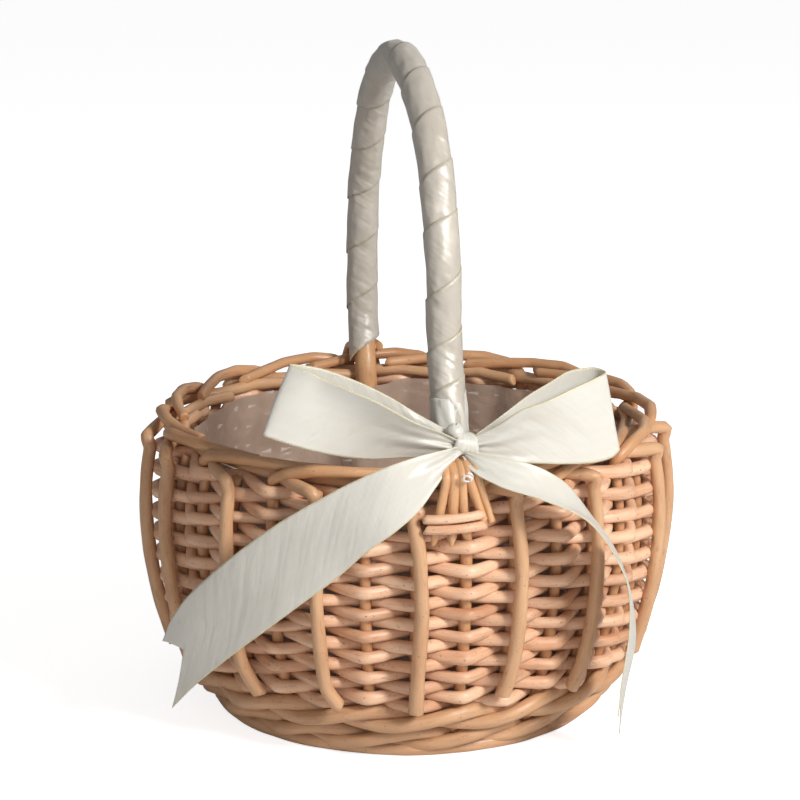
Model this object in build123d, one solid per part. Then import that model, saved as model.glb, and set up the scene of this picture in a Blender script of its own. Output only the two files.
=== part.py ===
from build123d import *
import math
import os

# Flower girl basket: a round willow bowl with an arch handle wrapped in satin ribbon.
# Millimetres. +Z up, the origin in the middle of the resting face under the base.
# The handle stands in the plane X = 0 and the bow is tied on its -Y foot.

# ---- the willow bowl ----
PAIRS = 16                 # thin stakes, with one thick outer rod between each two
POSITIONS = 2 * PAIRS
STEP = 360 / POSITIONS     # degrees from one stake to the next
STAKE_TURN = 2.0           # the handle foot goes in just beside a stake
STAKE_D = 4.0
OUTER_ROD_D = 4.4
WEAVER_D = 3.5
WALE_D = 4.8
GAP = 0.3                  # air left between rods that press on each other

# Stake centreline: three arcs that meet tangentially.
BELLY_Z = 78.0
BELLY_R = 89.7
TOP_ARC = 102.0
SIDE_ARC = 160.0
HEEL_ARC = 33.0
HEEL_Z = 20.0

WALE_Z = (7.1, 10.6, 14.6, 19.0)
SIDE_ROWS = 20
SIDE_ROW_Z = 23.5
SIDE_ROW_PITCH = 3.85
STAKE_TOP = 98.5

# Border: (degrees round from the rod's own place, radius, height) of each bend.
THIN_BORDER = ((0, 88.4, 104.6), (11.25, 91.0, 109.0), (22.5, 83.3, 106.6), (29, 80.0, 106.2))
THIN_BENDS = (6, 22, 40)
OUTER_BORDER = ((0, 97.2, 101.2), (-11.25, 82.4, 100.9), (-22.5, 82.3, 101.6), (-28, 79.8, 101.4))
OUTER_BENDS = (7, 14, 25)

# ---- the base ----
FOOT_R = 70.5
FOOT_D = 4.4
MAT_ROD_D = 3.4
MAT_R = 62.0
WORN_FLAT = 0.25           # the underside is rubbed flat where it stands
STICK_D = 3.6
STICK_COUNT = 5
STICK_SPACING = 4.2

# ---- the handle ----
HANDLE_D = 9.0
WRAP_D = 12.0
HANDLE_BENDS = (
    (-72.5, 121), (-61.5, 148), (-61, 176), (-44, 220), (12, 246), (58, 222),
    (80, 182), (84, 150), (83, 124), (72.5, 108),
)
HANDLE_RADII = (45, 70, 60, 60, 60, 60, 60, 100, 28, 28)
HANDLE_LOW = 36.0
PEG_D = 3.2
LASH_D = 2.6

# ---- liner and ribbon ----
FILM = 0.4
RIBBON_W = 25.0
RIBBON_T = 0.6


def place(angle, radius, height):
    """A point `angle` degrees round from the -Y side, counter-clockwise from above."""
    a = math.radians(angle - 90)
    return Vector(radius * math.cos(a), radius * math.sin(a), height)


SIDE_TILT = math.asin((BELLY_Z - HEEL_Z) / SIDE_ARC)
HEEL_R = BELLY_R - SIDE_ARC * (1 - math.cos(SIDE_TILT))
HEEL_CENTRE_R = HEEL_R - HEEL_ARC * math.cos(SIDE_TILT)
HEEL_CENTRE_Z = HEEL_Z + HEEL_ARC * math.sin(SIDE_TILT)


def wall(z):
    """Radius of the stake centreline at height z, and its lean from upright in radians."""
    if z >= BELLY_Z:
        lean = math.asin((z - BELLY_Z) / TOP_ARC)
        return BELLY_R - TOP_ARC * (1 - math.cos(lean)), -lean
    if z >= HEEL_Z:
        lean = math.asin((BELLY_Z - z) / SIDE_ARC)
        return BELLY_R - SIDE_ARC * (1 - math.cos(lean)), lean
    lean = math.asin((HEEL_CENTRE_Z - z) / HEEL_ARC)
    return HEEL_CENTRE_R + HEEL_ARC * math.cos(lean), lean


def corner(z_low, z_high):
    """Where the wall's tangents at two heights cross, as (radius, height)."""
    r1, t1 = wall(z_low)
    r2, t2 = wall(z_high)
    span = ((r2 - r1) * math.cos(t2) - (z_high - z_low) * math.sin(t2)) / math.sin(t1 - t2)
    return r1 + span * math.sin(t1), z_low + span * math.cos(t1)


def rod(path, diameter):
    """A round rod with square cut ends along a smooth path."""
    return sweep(Plane(origin=path @ 0, z_dir=path % 0) * Circle(diameter / 2), path=path)


def stake_path(angle, z_low, z_high, stand_off=0.0, border=(), bends=()):
    """Up the wall at one angle, `stand_off` outside the stakes, then along the border."""
    points = [(wall(z_low)[0], z_low)]
    radii = []
    if z_low < HEEL_Z - 6:
        points.append(corner(z_low, HEEL_Z))
        radii.append(HEEL_ARC - 0.6)
    points.append(corner(max(z_low, HEEL_Z), BELLY_Z))
    radii.append(SIDE_ARC - 3)
    if border:
        points.append(corner(BELLY_Z, 97))
        radii.append(70)
    else:
        points.append(corner(BELLY_Z, z_high))
        radii.append(TOP_ARC - 3)
        points.append((wall(z_high)[0], z_high))
    path = [place(angle, r + stand_off, z) for r, z in points]
    path += [place(angle + turn, r, z) for turn, r, z in border]
    return FilletPolyline(*path, radius=radii + list(bends))


def weave_path(z, half_width, first):
    """Half a turn of a weaver, in front of one stake and behind the next, in a level plane.

    Equal arcs that touch tangentially: bulging outwards round each stake it passes in
    front of, and inwards round each stake it passes behind. It starts and ends out of
    sight behind a stake.
    """
    radius = wall(z)[0]
    c = math.cos(math.radians(STEP))
    linear = 2 * half_width * (1 + c)
    constant = (1 + c) * half_width**2 + radius**2 * (1 - c)
    bend = (-linear + math.sqrt(linear**2 + 4 * (1 - c) * constant)) / (2 * (1 - c))
    centre_front = radius + half_width - bend
    centre_back = radius - half_width + bend

    def centre(n):
        return place(STAKE_TURN + n * STEP, centre_back if (n - first) % 2 == 0 else centre_front, z)

    def apex(n, slide=0.0):
        reach = radius - half_width if (n - first) % 2 == 0 else radius + half_width
        return place(STAKE_TURN + n * STEP + slide, reach, z)

    def meeting(n):
        return (centre(n) + centre(n + 1)) * 0.5

    last = first + PAIRS
    slide = math.degrees(0.6 / (radius - half_width))
    edges = [arc_between(apex(first, slide), meeting(first), centre(first))]
    for n in range(first + 1, last):
        edges.append(ThreePointArc(meeting(n - 1), apex(n), meeting(n)))
    edges.append(arc_between(meeting(last - 1), apex(last, -slide), centre(last)))
    return Wire([e.edge() for e in edges])


def arc_between(start, end, centre):
    """The short arc from start to end about a centre."""
    half = (start + end) * 0.5 - centre
    middle = centre + half.normalized() * (start - centre).length
    return ThreePointArc(start, middle, end)


def wale_path(z, half_width, first):
    """A heavy rod in front of three stakes and behind the fourth, in a level plane."""
    radius = wall(z)[0]
    front = radius + half_width
    reach = math.radians(STEP * 0.98)

    def shoulder_gap(bend):
        outer = front - bend
        inner = radius - half_width + bend
        between = math.sqrt(outer**2 + inner**2 - 2 * outer * inner * math.cos(reach))
        return between - 2 * bend

    low, high = 1.0, 40.0
    for _ in range(60):
        middle = (low + high) / 2
        if shoulder_gap(middle) > 0:
            low = middle
        else:
            high = middle
    bend = low
    turn = math.degrees(reach)
    edges = []
    dives = [STAKE_TURN + (first + 4 * n) * STEP for n in range(5)]
    slide = math.degrees(0.6 / (radius - half_width))
    for n in range(4):
        a, b = dives[n], dives[n + 1]
        c1 = place(a, radius - half_width + bend, z)
        c2 = place(a + turn, front - bend, z)
        c3 = place(b - turn, front - bend, z)
        c4 = place(b, radius - half_width + bend, z)
        m1 = (c1 + c2) * 0.5
        m2 = (c3 + c4) * 0.5
        start = place(a + slide, radius - half_width, z) if n == 0 else place(a, radius - half_width, z)
        stop = place(b - slide, radius - half_width, z) if n == 3 else place(b, radius - half_width, z)
        top1 = place(a + turn, front, z)
        top2 = place(b - turn, front, z)
        edges.append(arc_between(start, m1, c1))
        edges.append(arc_between(m1, top1, c2))
        edges.append(ThreePointArc(top1, place((a + b) / 2, front, z), top2))
        edges.append(arc_between(top2, m2, c3))
        edges.append(arc_between(m2, stop, c4))
    return Wire([e.edge() for e in edges])


def ribbon(sections):
    """A flat ribbon through (centre, across, width) sections, RIBBON_T thick."""
    wires = []
    for n, (centre, across, width) in enumerate(sections):
        before = sections[max(n - 1, 0)][0]
        after = sections[min(n + 1, len(sections) - 1)][0]
        along = (after - before).normalized()
        side = (across - along * across.dot(along)).normalized()
        normal = along.cross(side).normalized()
        half, thick = side * (width / 2), normal * (RIBBON_T / 2)
        corners = [centre - half - thick, centre + half - thick, centre + half + thick, centre - half + thick]
        wires.append(Wire.make_polygon(corners, close=True))
    return Solid.make_loft(wires, ruled=True)


parts = {}


def keep(name, solids):
    solids = solids if isinstance(solids, list) else [solids]
    flat = []
    for s in solids:
        flat += list(s.solids())
    parts[name] = flat[0] if len(flat) == 1 else Compound(children=flat)


# ---- base: two crossed layers of sticks between two coiled mats, and a foot rod ----
mat_radii = [MAT_R - n * (MAT_ROD_D + GAP) for n in range(16)]
lower_z = MAT_ROD_D / 2 - WORN_FLAT
stick_z = (MAT_ROD_D + GAP + STICK_D / 2, MAT_ROD_D + 2 * GAP + 1.5 * STICK_D)
upper_z = stick_z[1] + STICK_D / 2 + GAP + MAT_ROD_D / 2
floor_cut = Pos(0, 0, -10) * Box(300, 300, 20)
lower_rings = [Pos(0, 0, lower_z) * Torus(r, MAT_ROD_D / 2) - floor_cut for r in mat_radii]
mat_eye = Pos(0, 0, MAT_ROD_D / 2 - WORN_FLAT / 2) * Cylinder(mat_radii[-1] - MAT_ROD_D / 2 - GAP, MAT_ROD_D - WORN_FLAT)
keep("base_lower_mat", lower_rings + [mat_eye])
keep("base_upper_mat", [Pos(0, 0, upper_z) * Torus(r - 1.2, MAT_ROD_D / 2) for r in mat_radii])
sticks = []
for layer, turn in ((0, 0), (1, 90)):
    for n in range(STICK_COUNT):
        side = (n - (STICK_COUNT - 1) / 2) * STICK_SPACING * (1 + 0.9 * abs(n - 2))
        length = 2 * math.sqrt(58.3**2 - (abs(side) + STICK_D / 2) ** 2)
        stick = Pos(side, 0, stick_z[layer]) * Rot(90, 0, 0) * Cylinder(STICK_D / 2, length)
        sticks.append(Rot(0, 0, turn) * stick)
keep("base_sticks", sticks)
keep("foot_rod", Pos(0, 0, FOOT_D / 2 - WORN_FLAT) * Torus(FOOT_R, FOOT_D / 2) - floor_cut)

# ---- the stakes, the outer rods and the border they are folded into ----
thin, inner, outer = [], [], []
outer_stand_off = STAKE_D / 2 + 2 * GAP + WEAVER_D + OUTER_ROD_D / 2 + 0.2
for n in range(PAIRS):
    angle = STAKE_TURN + n * 2 * STEP
    thin.append(rod(stake_path(angle, 4.2, 97, 0, THIN_BORDER, THIN_BENDS), STAKE_D))
    inner.append(rod(stake_path(angle + STEP, 4.2, STAKE_TOP), STAKE_D))
    outer.append(
        rod(stake_path(angle + STEP, HEEL_Z + 2.6, 97, outer_stand_off, OUTER_BORDER, OUTER_BENDS), OUTER_ROD_D)
    )
keep("thin_stakes", thin)
keep("inner_stakes", inner)
keep("outer_rods", outer)

# ---- the heavy wale round the heel, then the side weave ----
for n, z in enumerate(WALE_Z):
    lean = wall(z)[1]
    half_width = (STAKE_D / 2 + WALE_D / 2 + GAP) / math.cos(lean)
    rods = [rod(wale_path(z, half_width, n + half * PAIRS), WALE_D) for half in (0, 1)]
    keep(f"wale_row_{n + 1}", rods)
for n in range(SIDE_ROWS):
    z = SIDE_ROW_Z + n * SIDE_ROW_PITCH
    lean = wall(z)[1]
    half_width = (STAKE_D / 2 + WEAVER_D / 2 + GAP) / math.cos(lean)
    first = (n % 2) + 2 * ((3 * n) % 8)
    rods = [rod(weave_path(z, half_width, first + half * PAIRS), WEAVER_D) for half in (0, 1)]
    keep(f"side_row_{n + 1:02d}", rods)

# ---- the handle: one bent rod, its feet inside the bowl, wrapped above the border ----
bends = [Vector(0, y, z) for y, z in HANDLE_BENDS]
core_path = FilletPolyline(
    Vector(0, bends[0].Y, HANDLE_LOW), *bends, Vector(0, bends[-1].Y, HANDLE_LOW), radius=list(HANDLE_RADII)
)
keep("handle_rod", rod(core_path, HANDLE_D))
far_end = bends[-1] + (bends[-2] - bends[-1]).normalized() * 9.2
wrap_path = FilletPolyline(Vector(0, bends[0].Y, 111.8), *bends[:-1], far_end, radius=list(HANDLE_RADII[:-1]))
wrap_ring = Circle(WRAP_D / 2) - Circle(HANDLE_D / 2 + 0.1)
keep("handle_ribbon_wrap", sweep(Plane(origin=wrap_path @ 0, z_dir=wrap_path % 0) * wrap_ring, path=wrap_path))


def peg(x_top, x_low, diameter, inner_y, low, out=97.4, top=112.6):
    """A foot rod: up the outside of the bowl, bent over the border to the handle."""
    points = (
        Vector(x_low, -math.sqrt(out**2 - x_low**2), low),
        Vector(x_top, -math.sqrt(out**2 - x_top**2), top),
        Vector(x_top, -inner_y, top + 1.0),
    )
    return rod(FilletPolyline(*points, radius=[5]), diameter)


for side, turn, inner_y in (("front", 0, 79.4), ("back", 180, 84.5)):
    pegs = [peg(x, x, PEG_D, inner_y, low) for x, low in ((-8.4, 87.5), (-4.9, 86.5), (-1.4, 88.5))]
    lashes = [peg(x, x + slip, LASH_D, inner_y, 94.5) for x, slip in ((2.2, 4.6), (5.4, 4.8))]
    keep(f"handle_pegs_{side}", [Rot(0, 0, turn) * s for s in pegs + lashes])
    short = []
    for z in (92.6, 96.4):
        arc = ThreePointArc(place(-7.4, 99.6, z), place(-2.9, 101.3, z + 0.3), place(2.6, 99.8, z))
        short.append(Rot(0, 0, turn) * rod(arc, PEG_D))
    keep(f"foot_weavers_{side}", short)
tie = ThreePointArc(Vector(0.6, -100.1, 104), Vector(3.6, -103.6, 107.4), Vector(5.2, -100.1, 103.2))
keep("clear_tie", rod(tie, 0.9))

# ---- the clear film liner: an open bowl just inside the weave ----
floor_z = upper_z + MAT_ROD_D / 2 + GAP
skin = [(0, floor_z), (64.0, floor_z), (70.2, 20.5), (74.0, 27.5), (78.0, 40), (81.2, 60), (82.9, 78), (81.2, 96.5)]
inner_skin = [(r - FILM, z) for r, z in reversed(skin[2:])] + [(63.8, floor_z + FILM), (0, floor_z + FILM)]
profile = make_face(Polyline(*[(r, 0, z) for r, z in skin + inner_skin], close=True))
keep("film_liner", revolve(profile, Axis.Z))

# ---- the ribbon bow tied round the -Y foot of the handle ----
KNOT = Vector(1.0, -84.2, 120.4)
knot_band = FilletPolyline(Vector(0, bends[0].Y, 116.2), bends[0], (bends[0] + bends[1]) * 0.5, radius=[8])
band_ring = Circle(WRAP_D / 2 + 0.9) - Circle(WRAP_D / 2 + 0.3)
keep("bow_band", sweep(Plane(origin=knot_band @ 0, z_dir=knot_band % 0) * band_ring, path=knot_band))
knot = Pos(KNOT) * fillet(Box(8.4, 8.0, 8.0).edges(), 2.4)
keep("bow_knot", knot)

# Loops: (x, y, height of the ribbon's middle) round the loop, then the outline seen from the front.
LEFT_LOOP = (
    (-4.4, -87.0, 120.4), (-18, -94.0, 123.2), (-34, -98.6, 128.2), (-52, -99.2, 134.2), (-63, -96.4, 137.8),
    (-67, -91.6, 139.0), (-64, -87.0, 138.8), (-48, -83.8, 136.2), (-24, -83.0, 128.4), (-4.4, -84.6, 121.2),
)
LEFT_OUTLINE = (
    (-4.6, 116.8), (-19, 116.6), (-44.5, 118.4), (-60, 122.4), (-69.2, 127.0), (-67, 139), (-59.5, 151.2),
    (-51, 148.6), (-31, 139.4), (-12, 128.8), (-4.6, 124.2),
)
RIGHT_LOOP = (
    (6.4, -87.0, 120.0), (18, -91.6, 118.8), (36, -88.0, 120.6), (50, -82.0, 122.4), (57.4, -76.4, 123.4),
    (57.8, -71.2, 124.4), (50, -68.4, 125.6), (34, -71.4, 125.2), (18, -78.2, 123.4), (6.4, -84.6, 121.2),
)
RIGHT_OUTLINE = (
    (6.6, 116.6), (15, 110.6), (33, 108.8), (54.6, 107.4), (60.2, 112), (59.6, 127), (57, 137.4),
    (53, 139.8), (44, 140.4), (22, 131.6), (6.6, 124.0),
)


def bow_loop(route, outline, lean):
    """A ribbon wall on the loop's route, leaning sideways by `lean`, cut to its outline."""
    base = 96
    plan = [(x - (z - base) * lean, y) for x, y, z in route]
    strip = Pos(0, 0, base) * trace(Polyline(*plan), line_width=RIBBON_T)
    wall_piece = extrude(strip, amount=70, dir=(lean, 0, 1))
    window = extrude(Plane.XZ * make_face(Polyline(*outline, close=True)), amount=130, both=True)
    return wall_piece & window


keep("bow_loop_left", bow_loop(LEFT_LOOP, LEFT_OUTLINE, 0.35))
keep("bow_loop_right", bow_loop(RIGHT_LOOP, RIGHT_OUTLINE, -0.10))

# Tails: (degrees round from -Y, radius, height, width) down the outside of the bowl.
LEFT_TAIL = (
    (-2.6, 89.6, 115.6, 8), (-5, 96.5, 113.6, 11), (-9, 101.6, 110.0, 16), (-15.5, 103.6, 103.2, 21),
    (-24, 104.2, 93.6, 24), (-34, 104.6, 81.8, RIBBON_W), (-44, 105.0, 69.4, RIBBON_W),
    (-54, 105.8, 56.0, RIBBON_W), (-64, 107.0, 38.6, RIBBON_W), (-69.5, 107.6, 27.0, RIBBON_W),
)
RIGHT_TAIL = (
    (3.2, 90.4, 115.4, 8), (6.5, 97.5, 112.6, 10), (11.5, 102.4, 107.6, 12), (18, 103.6, 101.0, 14),
    (24.5, 104.6, 91.0, 15), (31, 106.0, 79.0, 14), (37.4, 108.0, 64.0, 12), (41.4, 108.0, 48.0, 12),
    (42.4, 107.2, 30.0, 12), (41.0, 106.0, 8.0, 12),
)


def tail(rows, twist):
    """The ribbon lies on the bowl; towards its end it turns edge-on by `twist` degrees."""
    sections = []
    for n, (angle, radius, height, width) in enumerate(rows):
        here = place(angle, radius, height)
        nxt = rows[min(n + 1, len(rows) - 1)]
        prev = rows[max(n - 1, 0)]
        along = (place(*nxt[:3]) - place(*prev[:3])).normalized()
        out = place(angle, 1, 0)
        across = out.cross(along).normalized()
        share = max(0.0, (n - 3) / (len(rows) - 4))
        a = math.radians(twist * share)
        across = across * math.cos(a) + along.cross(across) * math.sin(a)
        sections.append((here, across, width))
    return ribbon(sections)


keep("bow_tail_left", tail(LEFT_TAIL, 0))
keep("bow_tail_right", tail(RIGHT_TAIL, 55))

os.makedirs("parts", exist_ok=True)
for name, solid in parts.items():
    solid.label = name
    export_step(solid, f"parts/{name}.step")
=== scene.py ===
"""Flower girl basket: a willow bowl, a satin-wrapped arch handle, a ribbon bow and a clear film liner.

Shapes are worked out in millimetres and written to the meshes in metres.
Angles are degrees round from the bow's side (-Y), counter-clockwise from above.
"""
import bpy
import math
import numpy as np
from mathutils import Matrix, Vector


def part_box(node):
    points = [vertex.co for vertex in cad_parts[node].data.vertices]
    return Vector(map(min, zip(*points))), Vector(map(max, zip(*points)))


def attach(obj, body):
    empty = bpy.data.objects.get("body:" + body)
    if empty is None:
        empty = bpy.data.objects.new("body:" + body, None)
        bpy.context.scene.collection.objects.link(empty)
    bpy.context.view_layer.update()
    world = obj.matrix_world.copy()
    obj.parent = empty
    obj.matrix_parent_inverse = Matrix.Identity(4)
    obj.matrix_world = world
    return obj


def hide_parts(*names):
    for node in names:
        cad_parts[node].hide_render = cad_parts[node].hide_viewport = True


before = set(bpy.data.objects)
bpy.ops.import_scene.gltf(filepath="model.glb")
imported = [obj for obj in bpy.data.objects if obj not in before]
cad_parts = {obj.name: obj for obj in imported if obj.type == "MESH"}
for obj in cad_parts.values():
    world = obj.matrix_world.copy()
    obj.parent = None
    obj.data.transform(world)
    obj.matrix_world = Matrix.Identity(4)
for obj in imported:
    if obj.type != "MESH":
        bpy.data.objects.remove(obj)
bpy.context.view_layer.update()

MM = 0.001
STAKE_TURN = 1.1
STEP = 11.25
PAIRS = 16
ROW_BASE, ROW_PITCH = 22.7, 4.08
BELLY_Z, BELLY_R, TOP_ARC, SIDE_ARC = 78.0, 89.7, 102.0, 160.0
HEEL_Z, HEEL_ARC = 20.0, 33.0
WEAVER_SWING, OUTER_STAND_OFF = 4.3, 8.1
HANDLE_R, FILM_RISE, LEG_DENT = 4.45, 4.5, 11.5
RIBBON_WIDE = 0.025
TO_THE_FRONT = np.array([-0.205, -0.947, 0.2495])
LIGHT_OF_ROOM, EXTRA_WHEN_SEEN = 0.22, 0.78


# ---- shapes of the willow bowl
def wall(z):
    """Radius of the stakes at height z: a top arc, a side arc and a heel arc that meet smoothly."""
    z = np.asarray(z, float)
    tilt = math.asin((BELLY_Z - HEEL_Z) / SIDE_ARC)
    heel_r = BELLY_R - SIDE_ARC * (1 - math.cos(tilt)) - HEEL_ARC * math.cos(tilt)
    heel_z = HEEL_Z + HEEL_ARC * math.sin(tilt)
    top = BELLY_R - TOP_ARC + np.sqrt(np.maximum(TOP_ARC**2 - (z - BELLY_Z) ** 2, 0))
    side = BELLY_R - SIDE_ARC + np.sqrt(np.maximum(SIDE_ARC**2 - (z - BELLY_Z) ** 2, 0))
    heel = heel_r + np.sqrt(np.maximum(HEEL_ARC**2 - (z - heel_z) ** 2, 0))
    return np.where(z >= BELLY_Z, top, np.where(z >= HEEL_Z, side, heel))


def round_the_bowl(angle, radius, height):
    """Points at the given angles, radii and heights, as an (n, 3) array."""
    a = np.radians(np.asarray(angle, float) - 90)
    a, r, z = np.broadcast_arrays(a, np.asarray(radius, float), np.asarray(height, float))
    return np.stack([r * np.cos(a), r * np.sin(a), z], axis=-1)


def wander(s, seed, size, length):
    """Slow natural unevenness along s: three sines of unrelated wavelengths and random phases."""
    rng = np.random.default_rng(seed)
    ph = rng.uniform(0, 2 * np.pi, 3)
    k = 2 * np.pi / (length * np.array([1.0, 0.57, 0.31]) * rng.uniform(0.85, 1.15, 3))
    return size * (0.6 * np.sin(k[0] * s + ph[0]) + 0.3 * np.sin(k[1] * s + ph[1]) + 0.15 * np.sin(k[2] * s + ph[2]))


def spread(points, gap):
    """The same broken line with extra points, so that none are more than `gap` apart."""
    points = np.asarray(points, float)
    steps = np.maximum(1, np.ceil(np.linalg.norm(np.diff(points, axis=0), axis=1) / gap)).astype(int)
    span = np.repeat(np.arange(len(steps)), steps)
    share = np.concatenate([np.arange(n) / n for n in steps])[:, None]
    return np.vstack([points[span] * (1 - share) + points[span + 1] * share, points[-1:]])


def ease_corners(points, gap, rounds):
    """A broken line with its corners eased: spread, then cut each corner a quarter in, several times."""
    line = spread(points, gap)
    for _ in range(rounds):
        a, b = line[:-1], line[1:]
        cut = np.stack([a * 0.75 + b * 0.25, a * 0.25 + b * 0.75], axis=1).reshape(-1, 3)
        line = np.vstack([line[:1], cut, line[-1:]])
    return line


def even(points, step):
    """The same line measured out again in even steps."""
    points = np.asarray(points, float)
    s = np.concatenate([[0], np.cumsum(np.linalg.norm(np.diff(points, axis=0), axis=1))])
    n = max(2, int(round(s[-1] / step)) + 1)
    t = np.linspace(0, s[-1], n)
    return np.stack([np.interp(t, s, points[:, k]) for k in range(3)], axis=-1)


def filleted(points, radii, step):
    """A broken line whose corners are true arcs of the given radii, measured out in even steps.

    Each arc runs between the two points where its circle touches the straight parts.
    """
    p = np.asarray(points, float)
    parts = [p[:1]]
    for before, corner, after, radius in zip(p[:-2], p[1:-1], p[2:], radii):
        a, b = before - corner, after - corner
        a, b = a / np.linalg.norm(a), b / np.linalg.norm(b)
        half = math.acos(np.clip(np.dot(a, b), -1, 1)) / 2
        centre = corner + (a + b) / np.linalg.norm(a + b) * radius / math.sin(half)
        u, w = corner + a * radius / math.tan(half) - centre, corner + b * radius / math.tan(half) - centre
        sweep, t = math.pi - 2 * half, np.linspace(0, 1, 40)[:, None]
        parts.append(centre + (np.sin((1 - t) * sweep) * u + np.sin(t * sweep) * w) / math.sin(sweep))
    return even(np.vstack(parts + [p[-1:]]), step)


def through(points, n):
    """A smooth line through the points (Catmull-Rom by chord length), n points long."""
    p = np.asarray(points, float)
    s = np.concatenate([[0], np.cumsum(np.linalg.norm(np.diff(p, axis=0), axis=1))])
    slope = np.gradient(p, s, axis=0)
    t = np.linspace(0, s[-1], n)
    i = np.clip(np.searchsorted(s, t, side="right") - 1, 0, len(s) - 2)
    h = (s[i + 1] - s[i])[:, None]
    u = ((t - s[i])[:, None]) / h
    return (
        (2 * u**3 - 3 * u**2 + 1) * p[i] + (u**3 - 2 * u**2 + u) * h * slope[i]
        + (3 * u**2 - 2 * u**3) * p[i + 1] + (u**3 - u**2) * h * slope[i + 1]
    )


# ---- meshes
def mesh_object(name, points, faces, uv, tone=None):
    """A mesh object at the origin from points in millimetres, polygons, one uv per corner and a tone per point."""
    mesh = bpy.data.meshes.new(name)
    points = np.asarray(points, np.float32) * MM
    mesh.vertices.add(len(points))
    mesh.vertices.foreach_set("co", points.ravel())
    sizes = np.concatenate([np.full(len(f), f.shape[1]) for f in faces])
    flat = np.concatenate([f.ravel() for f in faces])
    mesh.loops.add(len(flat))
    mesh.loops.foreach_set("vertex_index", flat.astype(np.int32))
    mesh.polygons.add(len(sizes))
    mesh.polygons.foreach_set("loop_start", np.concatenate([[0], np.cumsum(sizes)[:-1]]).astype(np.int32))
    mesh.polygons.foreach_set("loop_total", sizes.astype(np.int32))
    mesh.update(calc_edges=True)
    layer = mesh.uv_layers.new(name="Grain")
    layer.data.foreach_set("uv", np.asarray(uv, np.float32).ravel())
    if tone is not None:
        mesh.attributes.new("tone", "FLOAT", "POINT").data.foreach_set("value", np.asarray(tone, np.float32))
    mesh.polygons.foreach_set("use_smooth", np.full(len(sizes), True))
    mesh.validate()
    obj = bpy.data.objects.new(name, mesh)
    bpy.context.scene.collection.objects.link(obj)
    return obj


def outward(points):
    """Directions straight out from the basket's upright axis."""
    flat = points * np.array([1, 1, 0])
    return flat / np.maximum(np.linalg.norm(flat, axis=1, keepdims=True), 1e-6)


def rods(name, lines, sides=10):
    """One object of round rods. Each line is (centre line, radius along it, side direction, tone, seed, cut).

    A rod's surface is centre + radius * (cos a * across + sin a * other), where across and other are square to
    the line. The radius swells slowly along the rod, is a little out of round, and has a low ring at each
    knot. Each end is closed by a rim and a nearly flat cut, slanted by `cut`. Nothing goes below the floor.
    """
    points, quads, tris, uv_q, uv_t, tones, base = [], [], [], [], [], [], 0
    turn = np.linspace(0, 2 * np.pi, sides, endpoint=False)
    for line, radius, side, tone, seed, cut in lines:
        rng = np.random.default_rng(seed + 17)
        line = np.asarray(line, float)
        n = len(line)
        s = np.concatenate([[0], np.cumsum(np.linalg.norm(np.diff(line, axis=0), axis=1))])
        along = np.gradient(line, axis=0)
        along /= np.linalg.norm(along, axis=1, keepdims=True)
        side = np.broadcast_to(side, line.shape)
        across = side - along * np.sum(side * along, axis=1, keepdims=True)
        across /= np.linalg.norm(across, axis=1, keepdims=True)
        other = np.cross(along, across)
        radius = np.broadcast_to(radius, n) * (1 + wander(s, seed, 0.05, 34.0))
        knots = rng.uniform(0, s[-1], max(1, int(s[-1] / 70)))
        rise = np.exp(-(((s[:, None] - knots) / 1.6) ** 2)).sum(axis=1)
        lean = rng.uniform(0, 2 * np.pi)
        shape = 1 + 0.035 * np.cos(2 * turn[None] + lean + wander(s, seed + 5, 1.6, 60.0)[:, None])
        shape += 0.11 * rise[:, None] * (0.5 + 0.5 * np.cos(turn[None] - lean))
        ring = radius[:, None] * shape
        skin = line[:, None] + ring[..., None] * (
            np.cos(turn)[None, :, None] * across[:, None] + np.sin(turn)[None, :, None] * other[:, None]
        )
        caps = []
        for end, way in ((0, -1.0), (n - 1, 1.0)):
            slope = way * cut * np.cos(turn + lean)[:, None] * radius[end] * along[end]
            skin[end] += slope
            rim = line[end] + (skin[end] - line[end]) * 0.80 + way * along[end] * radius[end] * 0.10
            caps += [rim, (line[end] + way * along[end] * radius[end] * 0.12)[None]]
        block = np.vstack([skin.reshape(-1, 3)] + caps)
        block[:, 2] = np.maximum(block[:, 2], 0)
        points.append(block)
        tones.append(np.full(len(block), tone))
        i, j = np.meshgrid(np.arange(n - 1), np.arange(sides), indexing="ij")
        i, j = i.ravel(), j.ravel()
        k = (j + 1) % sides
        quads.append(base + np.stack([i * sides + j, i * sides + k, (i + 1) * sides + k, (i + 1) * sides + j], axis=1))
        u0, u1, v0, v1 = j / sides, (j + 1) / sides, s[i], s[i + 1]
        uv_q.append(np.stack([u0, v0, u1, v0, u1, v1, u0, v1], axis=1).reshape(-1, 2) * (1, MM))
        j = np.arange(sides)
        k = (j + 1) % sides
        rim0 = n * sides
        rim1 = rim0 + sides + 1
        last = (n - 1) * sides
        quads.append(base + np.stack([j, rim0 + j, rim0 + k, k], axis=1))
        quads.append(base + np.stack([last + j, last + k, rim1 + k, rim1 + j], axis=1))
        uv_q.append(np.tile([0.5, -0.05], (8 * sides, 1)))
        tris.append(base + np.stack([rim0 + j, np.full(sides, rim0 + sides), rim0 + k], axis=1))
        tris.append(base + np.stack([rim1 + j, rim1 + k, np.full(sides, rim1 + sides)], axis=1))
        uv_t.append(np.tile([0.5, -0.05], (6 * sides, 1)))
        base += len(block)
    uv = np.vstack(uv_q + uv_t)
    return mesh_object(name, np.vstack(points), [np.vstack(quads), np.vstack(tris)], uv, np.concatenate(tones))


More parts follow.
